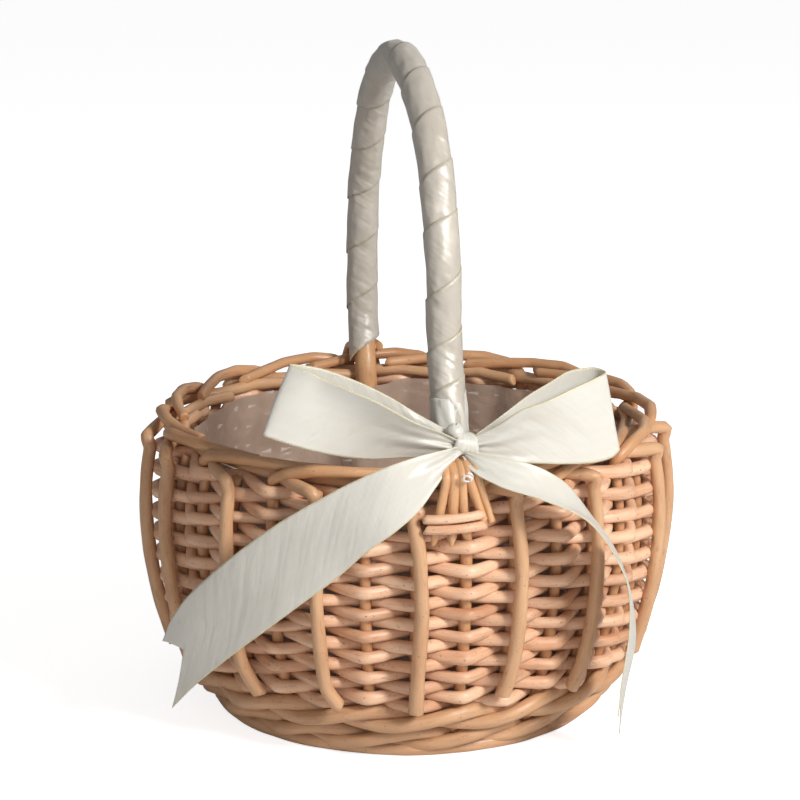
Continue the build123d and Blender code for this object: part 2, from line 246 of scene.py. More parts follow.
def strip(name, rows, flat_width, flat_length, thickness=0.35):
    """A ribbon from a grid of points (along, across, 3), with uv in metres of the flat ribbon, given a thickness."""
    n, m = rows.shape[:2]
    i, j = np.meshgrid(np.arange(n - 1), np.arange(m - 1), indexing="ij")
    i, j = i.ravel(), j.ravel()
    quads = np.stack([i * m + j, (i + 1) * m + j, (i + 1) * m + j + 1, i * m + j + 1], axis=1)
    u, v = j / (m - 1) * flat_width, i / (n - 1) * flat_length
    du, dv = flat_width / (m - 1), flat_length / (n - 1)
    uv = np.stack([u, v, u, v + dv, u + du, v + dv, u + du, v], axis=1).reshape(-1, 2)
    obj = mesh_object(name, rows.reshape(-1, 3), [quads], uv)
    solid = obj.modifiers.new("Ribbon thickness", "SOLIDIFY")
    solid.thickness = thickness * MM
    solid.offset = 0.0
    return obj


def between(low, high, n, m):
    """A ribbon's grid between two edge lines, n points along and m across, straight across at first."""
    a, b = through(low, n)[:, None], through(high, n)[:, None]
    t = np.linspace(0, 1, m)[None, :, None]
    return a * (1 - t) + b * t


def facing(rows):
    """The direction square to a ribbon's grid at each point."""
    along = np.gradient(rows, axis=0)
    across = np.gradient(rows, axis=1)
    n = np.cross(along, across)
    return n / np.maximum(np.linalg.norm(n, axis=2, keepdims=True), 1e-9)


# ---- materials
def linear(r, g, b):
    """A colour given as 0-255 display values, as linear light."""
    c = np.array([r, g, b]) / 255
    c = np.where(c <= 0.04045, c / 12.92, ((c + 0.055) / 1.055) ** 2.4)
    return (float(c[0]), float(c[1]), float(c[2]), 1.0)


def add(tree, kind, settings=None, **inputs):
    """A node with its settings and inputs; an input is a value or another node's output."""
    node = tree.nodes.new(kind)
    for key, value in (settings or {}).items():
        setattr(node, key, value)
    for key, value in inputs.items():
        by_number = key[0] == "i" and key[1:].isdigit()
        socket = node.inputs[int(key[1:]) if by_number else key.replace("_", " ")]
        if isinstance(value, bpy.types.NodeSocket):
            tree.links.new(value, socket)
        else:
            socket.default_value = value
    return node


def maths(tree, operation, *values, clamp=False):
    """The result of one sum on values or outputs."""
    inputs = {f"i{n}": v for n, v in enumerate(values)}
    return add(tree, "ShaderNodeMath", {"operation": operation, "use_clamp": clamp}, **inputs).outputs[0]


def mix(tree, share, a, b):
    """Colour a going over to b by share."""
    node = add(tree, "ShaderNodeMix", {"data_type": "RGBA"})
    for socket, value in ((node.inputs[0], share), (node.inputs[6], a), (node.inputs[7], b)):
        if isinstance(value, bpy.types.NodeSocket):
            tree.links.new(value, socket)
        else:
            socket.default_value = value
    return node.outputs[2]


def new_group(name, ins, outs):
    """An empty shader node group with named inputs and outputs; returns (group, inputs, output node)."""
    group = bpy.data.node_groups.new(name, "ShaderNodeTree")
    for label, kind, value in ins:
        socket = group.interface.new_socket(label, in_out="INPUT", socket_type=kind)
        socket.default_value = value
    for label, kind in outs:
        group.interface.new_socket(label, in_out="OUTPUT", socket_type=kind)
    return group, group.nodes.new("NodeGroupInput").outputs, group.nodes.new("NodeGroupOutput")


def willow_bark_group():
    """Peeled willow: streaks along the rod, pink and straw blotches, dark knots and specks, by the rod's own uv."""
    ins = [
        ("Pale", "NodeSocketColor", (0.7, 0.5, 0.3, 1)), ("Tan", "NodeSocketColor", (0.5, 0.3, 0.2, 1)),
        ("Dark", "NodeSocketColor", (0.2, 0.1, 0.05, 1)), ("Specks", "NodeSocketFloat", 0.5),
    ]
    outs = [("Color", "NodeSocketColor"), ("Roughness", "NodeSocketFloat"), ("Height", "NodeSocketFloat")]
    g, i, out = new_group("Peeled willow", ins, outs)
    uv = add(g, "ShaderNodeUVMap", {"uv_map": "Grain"}).outputs[0]
    tone = add(g, "ShaderNodeAttribute", {"attribute_name": "tone"}).outputs["Fac"]
    part = add(g, "ShaderNodeSeparateXYZ", Vector=uv).outputs
    angle = maths(g, "MULTIPLY", part[0], 2 * math.pi)
    place = add(
        g, "ShaderNodeCombineXYZ", X=maths(g, "COSINE", angle), Y=maths(g, "SINE", angle),
        Z=maths(g, "ADD", maths(g, "MULTIPLY", part[1], 1000.0), maths(g, "MULTIPLY", tone, 900.0)),
    ).outputs[0]

    def cloud(scale, detail, rough=0.55):
        """Noise stretched along the rod."""
        at = add(g, "ShaderNodeVectorMath", {"operation": "MULTIPLY"}, i0=place, i1=scale).outputs[0]
        return add(g, "ShaderNodeTexNoise", Vector=at, Scale=1.0, Detail=detail, Roughness=rough).outputs["Fac"]

    streaks = cloud((3.2, 3.2, 0.10), 4.0)
    fine = cloud((7.0, 7.0, 0.35), 3.0)
    blotch = cloud((0.6, 0.6, 0.045), 2.0)
    stain = cloud((0.9, 0.9, 0.11), 3.0, 0.65)
    speck = cloud((2.4, 2.4, 1.1), 2.0, 0.7)
    warm = mix(g, maths(g, "MULTIPLY_ADD", blotch, 1.7, -0.35, clamp=True), i["Tan"], i["Pale"])
    warm = mix(g, maths(g, "MULTIPLY", maths(g, "SUBTRACT", tone, 0.5), 0.9, clamp=True), warm, i["Pale"])
    shade = maths(g, "MULTIPLY", maths(g, "SUBTRACT", 0.5, tone), 0.75, clamp=True)
    warm = mix(g, shade, warm, i["Dark"])
    streak = maths(g, "MULTIPLY", maths(g, "SUBTRACT", streaks, 0.52), 3.0, clamp=True)
    warm = mix(g, maths(g, "MULTIPLY", streak, 0.32), warm, i["Dark"])
    mark = maths(g, "MULTIPLY", maths(g, "SUBTRACT", stain, 0.60), 5.0, clamp=True)
    warm = mix(g, maths(g, "MULTIPLY", mark, 0.50), warm, i["Dark"])
    dots = maths(g, "MULTIPLY", maths(g, "SUBTRACT", speck, 0.66), 14.0, clamp=True)
    warm = mix(g, maths(g, "MULTIPLY", dots, i["Specks"]), warm, (0.09, 0.045, 0.02, 1))
    g.links.new(warm, out.inputs["Color"])
    g.links.new(maths(g, "MULTIPLY_ADD", fine, 0.24, 0.26), out.inputs["Roughness"])
    height = maths(g, "ADD", maths(g, "MULTIPLY", streaks, 0.7), maths(g, "MULTIPLY", fine, 0.45))
    g.links.new(maths(g, "SUBTRACT", height, maths(g, "MULTIPLY", dots, 0.3)), out.inputs["Height"])
    return g


def satin_group():
    """Woven satin: fine slanted floats across the face, a slub now and then and a corded edge, by the ribbon's uv."""
    ins = [
        ("Cloth", "NodeSocketColor", (0.8, 0.75, 0.6, 1)), ("Edge", "NodeSocketColor", (0.8, 0.7, 0.5, 1)),
        ("Width", "NodeSocketFloat", 0.025), ("Pull", "NodeSocketFloat", 1.0),
    ]
    outs = [
        ("Color", "NodeSocketColor"), ("Roughness", "NodeSocketFloat"),
        ("Height", "NodeSocketFloat"), ("Folds", "NodeSocketFloat"),
    ]
    g, i, out = new_group("Woven satin", ins, outs)
    uv = add(g, "ShaderNodeUVMap", {"uv_map": "Grain"}).outputs[0]
    part = add(g, "ShaderNodeSeparateXYZ", Vector=uv).outputs
    across = maths(g, "MULTIPLY", part[0], 1000.0)
    along = maths(g, "MULTIPLY", part[1], 1000.0)
    slant = maths(g, "ADD", maths(g, "MULTIPLY", across, 0.55), along)
    twill = maths(g, "SINE", maths(g, "MULTIPLY", slant, 2 * math.pi / 0.50))
    rib = maths(g, "SINE", maths(g, "MULTIPLY", along, 2 * math.pi / 1.05))
    side = maths(g, "MINIMUM", part[0], maths(g, "SUBTRACT", i["Width"], part[0]))
    edge = maths(g, "SUBTRACT", 1.0, maths(g, "MULTIPLY", side, 1.0 / 0.0009), clamp=True)
    at = add(g, "ShaderNodeCombineXYZ", X=across, Y=maths(g, "MULTIPLY", along, 0.12)).outputs[0]
    slub = add(g, "ShaderNodeTexNoise", Vector=at, Scale=0.5, Detail=3.0).outputs["Fac"]
    colour = mix(g, maths(g, "MULTIPLY", edge, 0.75), i["Cloth"], i["Edge"])
    colour = mix(g, maths(g, "MULTIPLY_ADD", slub, 0.30, -0.05, clamp=True), colour, i["Edge"])
    g.links.new(colour, out.inputs["Color"])
    rough = maths(g, "ADD", maths(g, "MULTIPLY_ADD", slub, 0.16, 0.27), maths(g, "MULTIPLY", edge, 0.2))
    g.links.new(rough, out.inputs["Roughness"])
    cord = maths(g, "MULTIPLY", maths(g, "MULTIPLY", rib, edge), 2.2)
    g.links.new(maths(g, "ADD", maths(g, "MULTIPLY", twill, 0.5), cord), out.inputs["Height"])
    run = maths(g, "ADD", maths(g, "MULTIPLY", across, 0.16), maths(g, "MULTIPLY", along, 0.16))
    over = maths(g, "MULTIPLY", maths(g, "SUBTRACT", along, across), 0.03)
    at = add(g, "ShaderNodeCombineXYZ", X=run, Y=over).outputs[0]
    fold = add(g, "ShaderNodeTexNoise", Vector=at, Scale=1.0, Detail=2.0, Roughness=0.45).outputs["Fac"]
    g.links.new(maths(g, "MULTIPLY", fold, i["Pull"]), out.inputs["Folds"])
    return g


WILLOW = willow_bark_group()
SATIN = satin_group()


def place_group(mat, group, **values):
    """A node group placed in a material with its own values; returns its outputs."""
    tree = mat.node_tree
    node = tree.nodes.new("ShaderNodeGroup")
    node.node_tree = group
    for key, value in values.items():
        node.inputs[key].default_value = value
    return node.outputs


def finish_with(name, group, values, bump, **shader):
    """A material whose colour, roughness and height come from a group, and whose other values are set on its shader."""
    mat = bpy.data.materials.new(name)
    mat.use_nodes = True
    tree = mat.node_tree
    bsdf = tree.nodes["Principled BSDF"]
    outs = place_group(mat, group, **values)
    tree.links.new(outs["Color"], bsdf.inputs["Base Color"])
    tree.links.new(outs["Roughness"], bsdf.inputs["Roughness"])
    relief = add(tree, "ShaderNodeBump", Strength=bump[0], Distance=bump[1], Height=outs["Height"])
    if "Folds" in outs:
        folds = add(tree, "ShaderNodeBump", Strength=1.0, Distance=0.004, Height=outs["Folds"])
        tree.links.new(folds.outputs[0], relief.inputs["Normal"])
    tree.links.new(relief.outputs[0], bsdf.inputs["Normal"])
    for key, value in shader.items():
        bsdf.inputs[key.replace("_", " ")].default_value = value
    return mat


def willow(name, pale, tan, dark, specks):
    """Peeled willow in three display colours."""
    values = {"Pale": linear(*pale), "Tan": linear(*tan), "Dark": linear(*dark), "Specks": specks}
    return finish_with(
        name, WILLOW, values, (0.55, 0.0003), Specular_IOR_Level=0.45, Coat_Weight=0.12, Coat_Roughness=0.35,
    )


willow_weaver = willow("Peeled willow weaver", (244, 206, 174), (208, 151, 112), (134, 80, 50), 0.8)
willow_stake = willow("Peeled willow stake", (216, 168, 124), (188, 134, 94), (126, 78, 48), 0.5)
willow_heavy = willow("Heavy peeled willow", (216, 174, 134), (190, 140, 102), (124, 76, 48), 0.5)
willow_base = willow("Base willow", (210, 162, 118), (184, 130, 90), (112, 70, 44), 0.6)
willow_handle = willow("Handle willow", (222, 176, 130), (194, 140, 98), (118, 72, 44), 0.5)


def satin(name, cloth, edge, pull, gloss):
    """Satin ribbon in two display colours, with its slanted pulls and gloss."""
    values = {"Cloth": linear(*cloth), "Edge": linear(*edge), "Width": RIBBON_WIDE, "Pull": pull}
    return finish_with(
        name, SATIN, values, (0.30, 0.00010), Specular_IOR_Level=gloss, Anisotropic=0.6, Sheen_Weight=0.2,
        Sheen_Roughness=0.5, Subsurface_Weight=0.2, Subsurface_Scale=0.0015, Subsurface_Radius=(1, 1, 1),
    )


satin_bow = satin("Ivory satin bow", (217, 215, 208), (208, 194, 148), 0.12, 0.9)
# The wrap is the bow's ivory satin given a darker, greyer cloth colour: painted shade on the handle.
satin_wrap = satin("Ivory satin wrap with painted shade", (192, 184, 174), (206, 195, 160), 0.34, 1.0)


def clear_sheet(name, colour, alpha, roughness):
    """Clear film or nylon: mostly see-through, with sharp gloss and a fine crinkle."""
    mat = bpy.data.materials.new(name)
    mat.use_nodes = True
    tree = mat.node_tree
    bsdf = tree.nodes["Principled BSDF"]
    bsdf.inputs["Base Color"].default_value = linear(*colour)
    bsdf.inputs["Roughness"].default_value = roughness
    bsdf.inputs["Specular IOR Level"].default_value = 0.8
    bsdf.inputs["Coat Weight"].default_value = 0.6
    bsdf.inputs["Coat Roughness"].default_value = 0.08
    at = add(tree, "ShaderNodeTexCoord").outputs["Object"]
    crinkle = add(tree, "ShaderNodeTexNoise", Vector=at, Scale=95.0, Detail=3.0, Distortion=0.8).outputs["Fac"]
    relief = add(tree, "ShaderNodeBump", Strength=0.6, Distance=0.0015, Height=crinkle)
    tree.links.new(relief.outputs[0], bsdf.inputs["Normal"])
    veil = maths(tree, "MULTIPLY_ADD", crinkle, alpha * 0.3, alpha * 0.85)
    tree.links.new(veil, bsdf.inputs["Alpha"])
    return mat


clear_film = clear_sheet("Clear film", (178, 154, 138), 0.90, 0.34)
clear_nylon = clear_sheet("Clear nylon", (236, 238, 242), 0.62, 0.1)


def settle(obj, material, slot, *nodes):
    """Give a finished piece its material and the nodes it stands for, and let it ride the basket; slot is not used."""
    obj.data.materials.append(material)
    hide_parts(*nodes)
    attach(obj, "root")
    return obj


def box_mm(node):
    """Lowest and highest corner of a node, in millimetres."""
    low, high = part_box(node)
    return np.array(low) / MM, np.array(high) / MM


# ---- side weave
def side_row(n):
    """Two weavers that pass in front of one stake and behind the next.

    The radius follows a triangle wave with barely eased tips round the wall's radius, one full wave in two
    stakes. The rods dip at the thin stakes, wander a little, and get thinner towards their tips; each is
    thickest where it bends over a stake and narrowest where it passes through the row.
    """
    node = f"side_row_{n + 1:02d}"
    z = ROW_BASE + ROW_PITCH * n
    rng = np.random.default_rng(400 + n)
    first = (n % 2) + 2 * ((3 * n) % 8)
    lines = []
    for half in (0, 1):
        seed = 1000 + 10 * n + half
        start = STAKE_TURN + (first + half * PAIRS) * STEP
        angle = np.linspace(start - 1.2, start + PAIRS * STEP + 1.0, 250)
        phase = np.radians((angle - start) / STEP * 180)
        wave = -np.arcsin(0.994 * np.cos(phase)) / math.asin(0.994)
        s = np.radians(angle) * 90
        radius = wall(z) + wave * WEAVER_SWING + wander(s, seed, 0.25, 90)
        dip = -0.35 * np.cos(np.radians((angle - STAKE_TURN) / STEP * 180))
        height = z + dip + wander(s, seed + 1, 0.55, 110)
        thick = np.linspace(2.48, 2.16, len(angle))
        if rng.random() < 0.5:
            thick = thick[::-1]
        thick = thick * rng.uniform(0.96, 1.06) * (0.95 + 0.06 * np.abs(wave))
        line = round_the_bowl(angle, radius, height)
        lines.append((line, thick, (0, 0, 1), rng.uniform(0.15, 0.95), seed, 0.5))
    return settle(rods(node.replace("_", "-"), lines, 10), willow_weaver, "willow_weaver", node)


for n in range(20):
    side_row(n)


# ---- heavy wale round the heel
def wale_row(n):
    """Heavy rods twisted in pairs round the heel: rows 1 and 2 make the lower rope, rows 3 and 4 the upper.

    Each rod circles the rope's own centre line once in four stakes, half a turn behind its partner, so that
    every front stretch climbs to the right over the next one.
    """
    node = f"wale_row_{n + 1}"
    centre_z, reach = ((7.7, 3.3), (17.2, 3.0))[n // 2]
    lines = []
    for half in (0, 1):
        seed = 2000 + 10 * n + half
        start = STAKE_TURN + (2 * n + 1.5 + half * PAIRS) * STEP
        angle = np.linspace(start - 0.6, start + PAIRS * STEP + 0.6, 300)
        s = np.radians(angle) * 80
        round_rope = (angle - STAKE_TURN) / (4 * STEP) * 360 + 180 * (n % 2) + 70 * (n // 2)
        twist = np.radians(round_rope) + wander(s, 2100, 0.30, 150)
        z = centre_z + 2.75 * np.sin(twist) + wander(s, seed + 1, 0.25, 110)
        radius = wall(centre_z + 1.7 * np.sin(twist)) + reach + 2.8 * np.cos(twist) + wander(s, seed, 0.25, 80)
        thick = np.linspace(2.85, 2.55, len(angle))
        tone = np.random.default_rng(seed).uniform(0.25, 0.8)
        lines.append((round_the_bowl(angle, radius, z), thick, (0, 0, 1), tone, seed, 0.4))
    return settle(rods(node.replace("_", "-"), lines, 12), willow_heavy, "willow_heavy", node)


for n in range(4):
    wale_row(n)

# ---- stakes, outer rods and border
# Degrees each outer rod stands off its even place, and how it bends aside on the way up (height, degrees).
ROD_SHIFT = {11: 8.0, 12: 3.2, 13: 3.1, 14: 1.9, 15: 0.6, 0: -0.6, 1: -3.6, 2: 0.7, 3: -3.5}
ROD_BENDS = {
    13: ((23, 3.6), (27, 2.2), (34, 0.2), (60, 0), (98, -0.4)),
    14: ((24, 3.0), (27, 1.5), (31, 0.3), (60, 0), (98, -0.6)),
    15: ((22, -0.5), (40, -0.1), (62, 0.6), (84, 0), (98, -1.7)),
    0: ((27, -1.9), (33, -0.7), (45, -0.1), (75, 0.2), (98, -0.9)),
    1: ((24, -1.6), (32, -0.3), (60, 0.2), (98, -0.3)),
}


def up_the_wall(angle, low, high, stand_off, bends=((0, 0), (100, 0))):
    """Up the wall from low to high, `stand_off` outside the stakes, bending aside by degrees at given heights."""
    z = np.linspace(low, high, 48)
    aside = np.interp(z, [b[0] for b in bends], [b[1] for b in bends])
    for _ in range(4):
        aside[1:-1] = (aside[:-2] + 2 * aside[1:-1] + aside[2:]) / 4
    return round_the_bowl(angle + aside, wall(z) + stand_off, z)


def thin_stake(n):
    """A thin stake up the wall, kinked over the top row, then along the rim and down onto the rods inside it."""
    rng = np.random.default_rng(3000 + n)
    angle = STAKE_TURN + n * 2 * STEP
    jig = rng.uniform(-0.6, 0.6, 7)
    border = np.array([
        (0.2, 88.8, 103.8), (5.0 + jig[0], 90.9, 107.6 + 0.5 * jig[1]), (11.25 + jig[2], 91.4, 109.3 + 0.5 * jig[3]),
        (20, 89.2, 109.4), (28 + jig[4], 85.6, 108.4 + 0.4 * jig[5]), (37 + 2 * jig[6], 82.6, 107.6),
    ])
    rim = round_the_bowl(angle + border[:, 0], border[:, 1], border[:, 2])
    line = even(ease_corners(np.vstack([up_the_wall(angle, 4.2, 101.0, 0), rim]), 4.2, 3), 1.6)
    thick = np.interp(np.linspace(0, 1, len(line)), [0, 0.62, 0.72, 1], [2.1, 2.05, 2.25, 1.95])
    return (line, thick, outward(line), rng.uniform(0.3, 0.9), 3100 + n, 0.7)


def inner_stake(n):
    """A stake hidden behind an outer rod, cut off level with the weave."""
    rng = np.random.default_rng(3300 + n)
    angle = STAKE_TURN + STEP + n * 2 * STEP
    line = even(up_the_wall(angle, 4.2, 101.0, 0), 2.2)
    return (line, np.linspace(2.1, 1.9, len(line)), outward(line), rng.uniform(0.2, 0.7), 3400 + n, 0.4)


def outer_rod(n):
    """A thick rod outside the weave, kinked over the rim the other way and laid along the inside of the wall."""
    rng = np.random.default_rng(3500 + n)
    even_place = STAKE_TURN + STEP + n * 2 * STEP
    shift, foot = ROD_SHIFT.get(n, rng.uniform(-1.2, 1.2)), rng.uniform(21.5, 25.0)
    own = ((foot, rng.uniform(-3, 3)), (31, rng.uniform(-0.6, 0.6)), (60, 0), (98, rng.uniform(-1, 1)))
    bends = ROD_BENDS.get(n, own)
    border = np.array([
        (shift + bends[-1][1], 97.0, 103.2), (-5.2 + shift * 0.3, 91.8, 104.2), (-STEP, 84.8, 104.3),
        (-2 * STEP, 82.8, 104.6), (-34.0, 80.6, 103.6),
    ])
    wall_part = up_the_wall(even_place + shift, bends[0][0], 99.0, OUTER_STAND_OFF, bends)
    rim = round_the_bowl(even_place + border[:, 0], border[:, 1], border[:, 2])
    line = even(ease_corners(np.vstack([wall_part, rim]), 3.2, 2), 1.5)
    thick = np.interp(np.linspace(0, 1, len(line)), [0, 0.45, 1], [2.6, 2.45, 2.1])
    return (line, thick, outward(line), rng.uniform(0.45, 0.85), 3600 + n, 0.35)


settle(rods("thin-stakes", [thin_stake(n) for n in range(PAIRS)], 10), willow_stake, "willow_stake", "thin_stakes")
settle(rods("inner-stakes", [inner_stake(n) for n in range(PAIRS)], 8), willow_stake, "willow_stake", "inner_stakes")
settle(rods("outer-rods", [outer_rod(n) for n in range(PAIRS)], 14), willow_heavy, "willow_heavy", "outer_rods")


# ---- base
def coil(node, seed):
    """A flat coil of one long rod: the radius shrinks evenly with the angle from the mat's edge to its middle."""
    low, high = box_mm(node)
    z, rim = (low[2] + high[2]) / 2, (high[0] - low[0]) / 2 - 1.7
    turns = 15.6
    angle = np.linspace(0, 360 * turns, 2100)
    radius = rim - (rim - 4.2) * angle / angle[-1]
    s = np.cumsum(np.gradient(np.radians(angle)) * radius)
    height = z + wander(s, seed, 0.12, 45)
    line = round_the_bowl(angle, radius + wander(s, seed + 1, 0.15, 60), height)
    cuts = np.array_split(np.arange(len(line)), 7)
    lines = []
    for k, part in enumerate(cuts):
        tone = np.random.default_rng(seed + k).uniform(0.2, 0.8)
        lines.append((even(line[part], 2.6), 1.62, (0, 0, 1), tone, seed + 20 + k, 0.6))
    return rods(node.replace("_", "-"), lines, 8)


settle(coil("base_lower_mat", 5000), willow_base, "willow_base", "base_lower_mat")
settle(coil("base_upper_mat", 5100), willow_base, "willow_base", "base_upper_mat")


def base_sticks():
    """Two crossed layers of straight sticks across the base."""
    low, high = box_mm("base_sticks")
    lines = []
    for layer in (0, 1):
        z = low[2] + 1.85 if layer == 0 else high[2] - 1.85
        for k in range(5):
            off = (k - 2) * 4.2 * (1 + 0.9 * abs(k - 2))
            reach = math.sqrt(58.3**2 - (abs(off) + 1.8) ** 2)
            t = np.linspace(-reach, reach, 40)
            line = np.stack([np.full(40, off), t, np.full(40, z)], axis=-1)
            line = line if layer == 0 else line[:, [1, 0, 2]]
            lines.append((line, 1.75, (0, 0, 1), 0.3 + 0.1 * k, 5200 + 10 * layer + k, 0.2))
    return rods("base-sticks", lines, 8)


settle(base_sticks(), willow_base, "willow_base", "base_sticks")


def foot_rod():
    """One heavy rod bent round under the heel, its two ends lying side by side."""
    low, high = box_mm("foot_rod")
    angle = np.linspace(150, 150 + 357, 300)
    s = np.radians(angle) * 70
    line = round_the_bowl(angle, (high[0] - low[0]) / 2 - 1.4 + wander(s, 5300, 0.25, 90), 2.75)
    return rods("foot-rod", [(line, 2.7, (0, 0, 1), 0.6, 5301, 0.4)], 12)


settle(foot_rod(), willow_heavy, "willow_heavy", "foot_rod")

# ---- handle
HANDLE_BENDS = np.array([
    (0, -72.5, 121), (0, -61.5, 148), (0, -61, 176), (0, -44, 220), (0, 12, 246), (0, 58, 222),
    (0, 80, 182), (0, 84, 150), (0, 83, 124), (0, 76.0, 106),
], float)
HANDLE_ARCS = (45, 70, 60, 60, 60, 60, 60, 100, 28, 20)
HANDLE_FOOT_Z = box_mm("handle_rod")[0][2]
HANDLE_ENDS = np.vstack([[(0, -72.5, HANDLE_FOOT_Z)], HANDLE_BENDS, [(0, 77.5, 52)]])
HANDLE_LINE = filleted(HANDLE_ENDS, HANDLE_ARCS, 1.0)
settle(
    rods("handle-rod", [(HANDLE_LINE[::2], HANDLE_R, (1, 0, 0), 0.5, 6000, 0.1)], 16),
    willow_handle, "willow_handle", "handle_rod",
)


WRAP_LAP, WRAP_LIFT, CREASED = 28.0, 5.72, 0.9
WRAP_NEAR_END, WRAP_FAR_END = 93, 108
WRAP_TURNS = (0, 0.5, 1.5, 2.5, 3.5, 4.5, 5.5)
WRAP_PLACES = (2.0, 10.8, 26.2, 45.0, 68.1, 84.6, 105.0)


def ribbon_wrap():
    """Satin ribbon wound round the handle.

    Each turn moves the ribbon along the handle by less than its own width, least near the bow's foot. Across
    its width the radius grows from the covered edge to the free edge, so each turn lies on the one before,
    and slanted pulls ripple its face.
    """
    ends = np.where(HANDLE_LINE[:, 1] < 0, WRAP_NEAR_END, WRAP_FAR_END)
    line = HANDLE_LINE[(HANDLE_LINE[:, 2] > ends) | (np.abs(HANDLE_LINE[:, 1]) < 60)]
    s = np.concatenate([[0], np.cumsum(np.linalg.norm(np.diff(line, axis=0), axis=1))])
    room = s[-1] - WRAP_LAP - 1 - WRAP_PLACES[-1]
    more = int(room / 20.5)
    turn_no = np.concatenate([WRAP_TURNS, WRAP_TURNS[-1] + np.arange(1, more + 1)])
    turn_at = np.concatenate([WRAP_PLACES, WRAP_PLACES[-1] + np.arange(1, more + 1) * room / more])
    a = np.linspace(0, turn_no[-1] * 2 * np.pi, int(turn_no[-1] * 44))[:, None]
    v = np.linspace(0, 1, 19)[None]
    at = np.interp(a / (2 * np.pi), turn_no, turn_at) + v * WRAP_LAP
    pull = 0.10 * np.sin(a * 3.0 + v * 5.0) + 0.08 * np.sin(a * 7.3 - v * 9.0) + 0.05 * np.sin(a * 13.7 + v * 4.0)
    fold = 0.16 * np.sin(1.7 * a + 9 * v) * np.sin(3.1 * a - 4 * v)
    lift = WRAP_LIFT + 0.55 * v**1.2 + (pull + fold) * np.sin(np.pi * v) * CREASED
    centre = np.stack([np.interp(at, s, line[:, k]) for k in range(3)], axis=-1)
    along = np.gradient(line, axis=0)
    along /= np.linalg.norm(along, axis=1, keepdims=True)
    t = np.stack([np.interp(at, s, along[:, k]) for k in range(3)], axis=-1)
    t /= np.linalg.norm(t, axis=2, keepdims=True)
    across = np.broadcast_to(np.array([1.0, 0, 0]), t.shape)
    other = np.cross(t, across)
    rows = centre + lift[..., None] * (np.cos(a)[..., None] * across + np.sin(a)[..., None] * other)
    length = np.linalg.norm(np.diff(rows[:, 9], axis=0), axis=1).sum()
    return strip("handle-ribbon-wrap", rows, RIBBON_WIDE, length * MM, 0.3), length * MM


wrap, wrap_length = ribbon_wrap()
settle(wrap, satin_wrap, "satin_wrap", "handle_ribbon_wrap")


def foot_pegs(node, turn):
    """Foot rods and two thin lashing rods, up the outside and bent over the border towards the handle."""
    inner = 79.6 if turn == 0 else 84.8
    lines = []
    for k, (top, foot, r, z) in enumerate((
        (-7.0, -11.6, 1.7, 86.2), (-4.4, -5.4, 1.8, 85.6), (-1.8, -0.6, 1.6, 88.6),
        (0.4, 6.0, 1.75, 93.6), (3.6, 8.9, 1.4, 93.2),
    )):
        out = 97.3
        pts = [
            (foot, -math.sqrt(out**2 - foot**2), z), ((top + foot) / 2, -out, (z + 111) / 2),
            (top, -out, 110.2), (top, -out + 4, 113.2), (top, -inner, 113.9),
        ]
        line = even(ease_corners(pts, 4.0, 3), 1.2)
        thick = r * np.clip(0.35 + (line[:, 2] - z) / 5.5, 0.35, 1.0) if k < 3 else r * np.ones(len(line))
        a = math.radians(turn)
        spin = np.array([[math.cos(a), -math.sin(a), 0], [math.sin(a), math.cos(a), 0], [0, 0, 1]])
        lines.append((line @ spin.T, thick, spin @ np.array([1.0, 0, 0]), 0.55 + 0.08 * k, 6100 + k, 0.6))
    return settle(rods(node.replace("_", "-"), lines, 12), willow_handle, "willow_handle", node)


def foot_weavers(node, turn):
    """Two short weavers over the foot rods, cut off just past them."""
    lines = []
    for k, z in enumerate((93.0, 96.8)):
        angle = np.linspace(-8.4, 3.2 - 0.7 * k, 24)
        bulge = 101.2 - 0.055 * (angle + 2.9) ** 2
        line = round_the_bowl(angle + turn, bulge, z + 0.25 * (angle + 3) * (0.4 + 0.3 * k) * 0.5)
        lines.append((line, 1.7, (0, 0, 1), 0.55 + 0.3 * k, 6200 + k, 0.5))
    return settle(rods(node.replace("_", "-"), lines, 12), willow_weaver, "willow_weaver", node)


for side, turn in (("front", 0), ("back", 180)):
    foot_pegs(f"handle_pegs_{side}", turn)
    foot_weavers(f"foot_weavers_{side}", turn)


def clear_tie():
    """A small curl of clear nylon: one and a half turns of an upright coil that opens at its ends."""
    low, high = box_mm("clear_tie")
    mid = (low + high) / 2 + np.array([-4.4, 0, 5.2])
    t = np.linspace(-0.3, 2.6 * np.pi, 70)
    coil = np.stack([1.5 * np.cos(t) + 0.12 * t, 0.18 * t - 0.6, 1.25 * np.sin(t) + 0.1 * t], axis=-1)
    return rods("clear-tie", [(mid + coil, 0.36, (0, 1, 0), 0.5, 6300, 0.2)], 8)


settle(clear_tie(), clear_nylon, "clear_nylon", "clear_tie")


